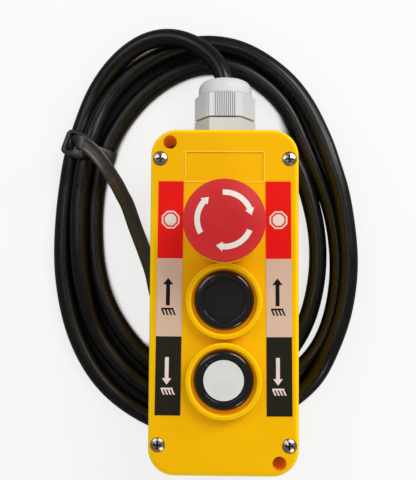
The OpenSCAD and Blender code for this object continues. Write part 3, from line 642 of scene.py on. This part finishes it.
# Bared cores at the free end, each with a ferrule. A row is (way along the core, radius).
CORE_OFF = 1.9
CORE_R = 1.2
CORE_STEP = 5.4
SPLAY = [0, 0.2, 0.9, 2, 3]
LOW_SPLAY = 0.35
FERRULE_ROWS = [(-2, 1.35), (0.6, 1.35), (1, 0.8), (6.2, 0.8), (6.5, 0.6)]


def free_core(bm, index, side, level):
    """One of four cores, at the given side (-1 or 1) and level (-1 or 1) of the cable's end."""
    end = cable_path[-1]
    way = (end - cable_path[-2]).normalized()
    across = way.cross(UP).normalized()
    start = end + (across * side + UP * level) * CORE_OFF * MM
    spread = across * side * (1 + LOW_SPLAY * level) - UP * LOW_SPLAY * (level + 1)
    path = even_path([start + way * (k * CORE_STEP - 1) * MM + spread * out * MM
                      for k, out in enumerate(SPLAY)], 1.1 * MM)
    tube(bm, path, [CORE_R * MM] * len(path), index)
    tip_way = (path[-1] - path[-2]).normalized()
    tube(bm, [path[-1] + tip_way * off * MM for off, _ in FERRULE_ROWS],
         [radius * MM for _, radius in FERRULE_ROWS], len(CORES))


bm = bmesh.new()
for index, (side, level) in enumerate([(-1, -1), (1, -1), (1, 1), (-1, 1)]):
    free_core(bm, index, side, level)
end_cores = add_piece("cable_end_wires", bm, CORES + [FERRULE])
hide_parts("cable_end_cores")

# Cable tie
TIE_W = 8
TIE_T = 1.3
TIE_EDGE = 0.35
STRAP_GAP = 0.15
ROUND_SIDES = 32
# Its head: a frame with a window that the strap's end comes up through
HEAD_L = 14
HEAD_W = 14.4
HALF_T = 6.5 / 2
HEAD_TILT = radians(-10)
HEAD_IN = 8
HEAD_SUNK = 0.6
HEAD_SPAN = 5
# Rows of the head's skin, from its underside over the top and down into the window:
# how far each lies in from the ends and from the sides, its corner radius and its height
HEAD_ROWS = [(0.8, 0.8, 2.2, -HALF_T), (0, 0, 3, -HALF_T + 0.8), (0, 0, 3, HALF_T - 1.8),
             (0.3, 0.3, 2.8, HALF_T - 1), (0.9, 0.8, 2.3, HALF_T - 0.35),
             (1.7, 1.3, 1.6, HALF_T), (2.5, 1.7, 1, HALF_T - 0.05), (2.9, 2, 0.7, HALF_T - 0.5),
             (3, 2.1, 0.6, -HALF_T + 1)]
PAWL_W = 6.4
PAWL_T = 0.9
PAWL_STEPS = (0, 0.9, 1.8, 2.4)
PAWL_IN = 3.1
PAWL_DOWN = 1.4
PAWL_SLOPE = 1.6
# The middle line of the loose end, from the head over the strands to its tip
TAIL = [(-84, 70.6, -31.6), (-82.2, 71.2, -29), (-78.2, 70.1, -27.6), (-72.2, 65, -27.9),
        (-66.8, 58.2, -28.8), (-62.6, 51.6, -31.2), (-60.2, 47.6, -34.2), (-57.8, 42.6, -37.6),
        (-54.9, 36.6, -41), (-50.8, 24.4, -44.5), (-45.7, 10.8, -46.8), (-41.7, -0.6, -48.3),
        (-38.6, -14.3, -49.6), (-34, -23.7, -50)]
# Its teeth: how deep and how far apart, and how many steps at its start and end have none
TOOTH = 0.22
TOOTH_STEP = 1.2
PLAIN_START = 6
PLAIN_END = 8
# Over how many steps it narrows to its tip, and the tip's share of the width
TIP_STEPS = 6
TIP_SHARE = 0.45
tie_foot = Vector((tie_spot.x, tie_spot.y, 0))


def strands_at_tie():
    """Where the strands cross the tie, as (out, height) in millimetres."""
    found = []
    flat = [(p / MM - tie_spot) for p in cable_path]
    for p, q in zip(flat, flat[1:]):
        s, t = p.dot(along), q.dot(along)
        if s * t <= 0 and s != t and abs(p.dot(outward)) < BUNDLE_HALF:
            spot = p.lerp(q, s / (s - t))
            found.append((spot.dot(outward), spot.z + tie_spot.z))
    return found


def bundle_rim():
    """The outline, as (out, height), that a tight strap takes round the strands.

    Rounding joins points that lie together.
    """
    reach = CABLE_D / 2 + STRAP_GAP
    return hull([(round(x + reach * cos(t), 4), round(z + reach * sin(t), 4))
                 for x, z in strands_at_tie() for t in (2 * pi * k / ROUND_SIDES for k in range(ROUND_SIDES))])


def tie_loop(bm, rim):
    loop = [Vector(p) for p in rim]
    half = TIE_W / 2
    profile = [(0, -half + TIE_EDGE), (TIE_EDGE * 0.6, -half), (TIE_T - TIE_EDGE, -half),
               (TIE_T, -half + TIE_EDGE), (TIE_T, half - TIE_EDGE), (TIE_T - TIE_EDGE, half),
               (TIE_EDGE * 0.6, half), (0, half - TIE_EDGE)]
    sections = []
    for i, p in enumerate(loop):
        ahead = (loop[(i + 1) % len(loop)] - loop[i - 1]).normalized()
        away = Vector((ahead.y, -ahead.x))
        sections.append([
            (tie_foot + outward * (p + away * d).x + along * w + UP * (p + away * d).y) * MM
            for d, w in profile])
    sweep(bm, sections, closed=True)


def tie_head(bm, rim):
    """The head on top of the strands, with its pawl."""
    head_out = max(x for x, _ in rim) - HEAD_IN
    head_low = max(z for x, z in rim if abs(x - head_out) < HEAD_SPAN) - HEAD_SUNK
    middle = tie_foot + outward * head_out + UP * (head_low + HALF_T)
    forward = outward * cos(HEAD_TILT) + UP * sin(HEAD_TILT)
    upward = UP * cos(HEAD_TILT) - outward * sin(HEAD_TILT)

    def head_ring(half_l, half_w, round_r, height, sides=6):
        ring = []
        for cx, cy, start in QUARTERS:
            for k in range(sides + 1):
                t = radians(start + 90 * k / sides)
                ring.append((middle + forward * (cx * (half_l - round_r) + round_r * cos(t))
                             + along * (cy * (half_w - round_r) + round_r * sin(t))
                             + upward * height) * MM)
        return ring

    sweep(bm, [head_ring(HEAD_L / 2 - short, HEAD_W / 2 - slim, round_r, height)
               for short, slim, round_r, height in HEAD_ROWS])
    half = PAWL_W / 2
    spots = [middle + forward * (HEAD_L / 2 - PAWL_IN - s)
             + upward * (HALF_T - PAWL_DOWN - PAWL_SLOPE * s) for s in PAWL_STEPS]
    sweep(bm, [[(p + along * w + upward * t) * MM
                for w, t in ((-half, 0), (half, 0), (half, -PAWL_T), (-half, -PAWL_T))]
               for p in spots])


def tie_tail(bm):
    """The loose end: a strap with raised edges and teeth between them, narrower at its tip."""
    path = even_path([Vector(p) * MM for p in TAIL], TOOTH_STEP * MM)
    thick = TIE_T / 2 * MM
    sections = []
    for i, (spot, way) in enumerate(zip(path, ways_along(path))):
        side = way.cross(UP).normalized()
        over = side.cross(way)
        half = TIE_W / 2 * MM * min(1, (len(path) - 1 - i) / TIP_STEPS + TIP_SHARE)
        notched = i % 2 and PLAIN_START < i < len(path) - PLAIN_END
        track = 1 - TOOTH * MM / thick if notched else 1
        profile = [(-0.92, -1), (-1, -0.4), (-1, 0.5), (-0.9, 1), (-0.62, 1), (-0.58, track),
                   (0.58, track), (0.62, 1), (0.9, 1), (1, 0.5), (1, -0.4), (0.92, -1)]
        sections.append([spot + side * half * w + over * thick * t for w, t in profile])
    sweep(bm, sections)


bm = bmesh.new()
rim = bundle_rim()
tie_loop(bm, rim)
tie_head(bm, rim)
tie_tail(bm)
tie = add_piece("cable_tie_strap", bm, [TIE])
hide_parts("cable_tie")

# Printed marks, in millimetres on a label strip of three fields
FILM = 0.3
INK = 0.06
INK_FOOT = 0.02
LABEL_X = 27.4
LABEL_TOP = 44
FIELD = 39
LABEL_MID = LABEL_TOP - 1.5 * FIELD
LABEL_LEAN = radians(0.4)


def up_arrow(length, head_l, head_w, shaft_w):
    """An arrow that points along +y with its tip at 0."""
    half = shaft_w / 2
    return [(0, 0), (-head_w / 2, -head_l), (-half, -head_l), (-half, -length),
            (half, -length), (half, -head_l), (head_w / 2, -head_l)]


def hatch(width, slant, drop, line):
    """A hook bar: a level line with four slanted strokes under it."""
    half = width / 2
    shapes = [[(-half, 0), (half - slant, 0), (half - slant, -line), (-half, -line)]]
    for k in range(4):
        x = -half + k * (width - slant - line) / 3
        shapes.append([(x, -line), (x + line, -line),
                       (x + line + slant, -drop), (x + slant, -drop)])
    return shapes


def octagon(radius):
    return [(radius * cos(t), radius * sin(t))
            for t in (radians(22.5 + 45 * k) for k in range(8))]


def octagon_ring(radius, inner):
    """A flat ring with eight straight sides, as one outline per side."""
    outside, inside = octagon(radius), octagon(inner)
    return [[outside[k], outside[(k + 1) % 8], inside[(k + 1) % 8], inside[k]] for k in range(8)]


def moved(shape, dx, dy, flip=1):
    """The shape in another place, and turned upside down where flip is -1."""
    return [(x + dx, y * flip + dy) for x, y in shape]


def print_marks(name, shapes, mat):
    """Prints flat shapes onto both label strips, which lean a little."""
    bm = bmesh.new()
    for side in (-1, 1):
        turn = side * LABEL_LEAN
        for shape in shapes:
            spots = []
            for x, y in shape:
                y -= LABEL_MID
                spots.append(((side * LABEL_X + x * cos(turn) - y * sin(turn)) * MM,
                              (LABEL_MID + x * sin(turn) + y * cos(turn)) * MM))
            prism(bm, spots, (FACE + FILM - INK_FOOT) * MM, (FACE + FILM + INK) * MM)
    return add_piece(name, bm, [mat])


raise_tip = LABEL_TOP - FIELD - 9.8
raise_arrow = up_arrow(length=13.8, head_l=3.3, head_w=5.2, shaft_w=2)
raise_hook = hatch(width=7.4, slant=1.2, drop=3.6, line=0.9)
print_marks("raise_marks", [moved(raise_arrow, -0.7, raise_tip)]
            + [moved(stroke, -0.3, raise_tip - 15) for stroke in raise_hook],
            PRINT_DARK)
lower_tip = LABEL_TOP - 2 * FIELD - 23.9
lower_arrow = up_arrow(length=13.6, head_l=3.2, head_w=4.7, shaft_w=1.9)
lower_hook = hatch(width=7.1, slant=1.2, drop=3.4, line=0.85)
print_marks("lower_marks", [moved(lower_arrow, -0.7, lower_tip, flip=-1)]
            + [moved(stroke, 0, lower_tip - 1.5) for stroke in lower_hook],
            PRINT_PALE)
stop_sign = octagon_ring(4.8, 4.0) + [octagon(3.1)]
print_marks("stop_marks", [moved(shape, 0, LABEL_TOP - FIELD / 2) for shape in stop_sign],
            MARKS)

# Parting line between cover and case: a thin dark band of painted shade that stands just proud of the wall
SEAM_HALF = 0.13
SEAM_OUT = 0.03
SEAM_IN = -0.4
CORNER_STEPS = 16
bm = bmesh.new()
sections = []
for cx, cy, start in QUARTERS:
    for k in range(CORNER_STEPS + 1):
        t = radians(start + 90 * k / CORNER_STEPS)
        way = Vector((cos(t), sin(t), 0))
        corner = Vector((cx * (BODY_W / 2 - BODY_R), BODY_Y + cy * (BODY_L / 2 - BODY_R), SEAM_Z))
        sections.append([(corner + way * (BODY_R + out) + UP * rise) * MM for out, rise in
                         ((SEAM_IN, -SEAM_HALF), (SEAM_OUT, -SEAM_HALF),
                          (SEAM_OUT, SEAM_HALF), (SEAM_IN, SEAM_HALF))])
sweep(bm, sections, closed=True)
add_piece("housing_parting_line", bm, [SEAM_SHADE])

# Floor. It takes painted shade in narrow gaps, but not right of the housing and below its top end, where the
# photograph shows it bright between the strands. Places and distances are in metres.
FLOOR_HALF = 3
FLOOR_DROP = 0.0002
GAP_REACH = 0.014
GAP_OPENNESS = (0.44, 0.56)
CLEAR_X = (0.03, 0.036)
CLEAR_Y = (0.062, 0.05)
SHARE_SEEN = 0.75
# Grey of the floor's diffuse part from narrow gaps to open floor: painted shade as well.
FLOOR_GREY = (0.1, 0.84)


def floor_material():
    """White where the camera sees it, with the object's shadow kept and painted shade in narrow gaps, and dim
    in reflections.
    """
    mat = bpy.data.materials.new("studio_floor")
    mat.use_nodes = True
    tree = mat.node_tree
    tree.nodes.clear()
    shut = tree.nodes.new("ShaderNodeAmbientOcclusion")
    shut.samples = 16
    shut.inputs["Distance"].default_value = GAP_REACH
    spot = tree.nodes.new("ShaderNodeTexCoord").outputs["Object"]
    clear = maths(tree, "MULTIPLY", map_range(tree, axis_of(tree, spot, "X"), *CLEAR_X),
                  map_range(tree, axis_of(tree, spot, "Y"), *CLEAR_Y))
    lit = maths(tree, "MAXIMUM", map_range(tree, shut.outputs["AO"], *GAP_OPENNESS), clear)
    ray = tree.nodes.new("ShaderNodeLightPath").outputs
    glow = tree.nodes.new("ShaderNodeEmission")
    glow.inputs["Color"].default_value = (1, 1, 1, 1)
    strength = maths(tree, "MULTIPLY", lit, ray["Is Camera Ray"])
    tree.links.new(strength, glow.inputs["Strength"])
    diffuse = tree.nodes.new("ShaderNodeBsdfDiffuse")
    tree.links.new(map_range(tree, lit, 0, 1, *FLOOR_GREY), diffuse.inputs["Color"])
    seen = maths(tree, "MAXIMUM", ray["Is Camera Ray"], ray["Is Glossy Ray"])
    mix = tree.nodes.new("ShaderNodeMixShader")
    tree.links.new(maths(tree, "MULTIPLY", seen, SHARE_SEEN), mix.inputs["Fac"])
    tree.links.new(diffuse.outputs["BSDF"], mix.inputs[1])
    tree.links.new(glow.outputs["Emission"], mix.inputs[2])
    out = tree.nodes.new("ShaderNodeOutputMaterial")
    tree.links.new(mix.outputs["Shader"], out.inputs["Surface"])
    return mat


bm = bmesh.new()
bmesh.ops.create_grid(bm, x_segments=1, y_segments=1, size=FLOOR_HALF)
floor_mesh = bpy.data.meshes.new("floor")
bm.to_mesh(floor_mesh)
bm.free()
floor_mesh.materials.append(floor_material())
floor = bpy.data.objects.new("floor", floor_mesh)
floor.location.z = FLOOR * MM - FLOOR_DROP
bpy.context.scene.collection.objects.link(floor)


# Lights
def soft_light(name, place, target, size, power, colour):
    data = bpy.data.lights.new(name, "AREA")
    data.shape = "DISK"
    data.size = size
    data.energy = power
    data.color = colour
    lamp = bpy.data.objects.new(name, data)
    lamp.location = place
    lamp.rotation_euler = (Vector(target) - Vector(place)).to_track_quat("-Z", "Y").to_euler()
    bpy.context.scene.collection.objects.link(lamp)


soft_light("key", (0.6, 0.75, 1.0), (0, 0, 0), 0.8, 8, (1, 0.98, 0.95))
soft_light("side", (1.0, 0.65, 0.42), (0, 0, 0), 0.25, 2.4, (0.92, 0.96, 1))
soft_light("second", (-0.7, 0.6, 1.0), (0, 0, 0), 0.7, 2.2, (0.86, 0.92, 1))
soft_light("above", (-0.23, 0.22, 1.35), (-0.06, 0.06, 0), 0.26, 0.8, (1, 0.93, 0.84))
soft_light("low", (0.5, -0.9, 0.8), (0, 0, 0), 0.3, 1.5, (1, 0.95, 0.88))

# Strength of the white world where the camera sees it and elsewhere, and how much less of it
# a reflection shows
WORLD_SEEN = 1
WORLD_LIGHT = 0.5
WORLD_GLOSSY_LESS = 0.36

world = bpy.data.worlds.new("studio")
bpy.context.scene.world = world
world.use_nodes = True
back = world.node_tree.nodes["Background"]
back.inputs["Color"].default_value = (1, 1, 1, 1)
world_ray = world.node_tree.nodes.new("ShaderNodeLightPath").outputs
strength = maths(world.node_tree, "MULTIPLY_ADD", world_ray["Is Camera Ray"],
                 WORLD_SEEN - WORLD_LIGHT, WORLD_LIGHT)
strength = maths(world.node_tree, "MULTIPLY_ADD", world_ray["Is Glossy Ray"],
                 -WORLD_GLOSSY_LESS, strength)
world.node_tree.links.new(strength, back.inputs["Strength"])

bpy.context.scene.view_settings.view_transform = "Standard"
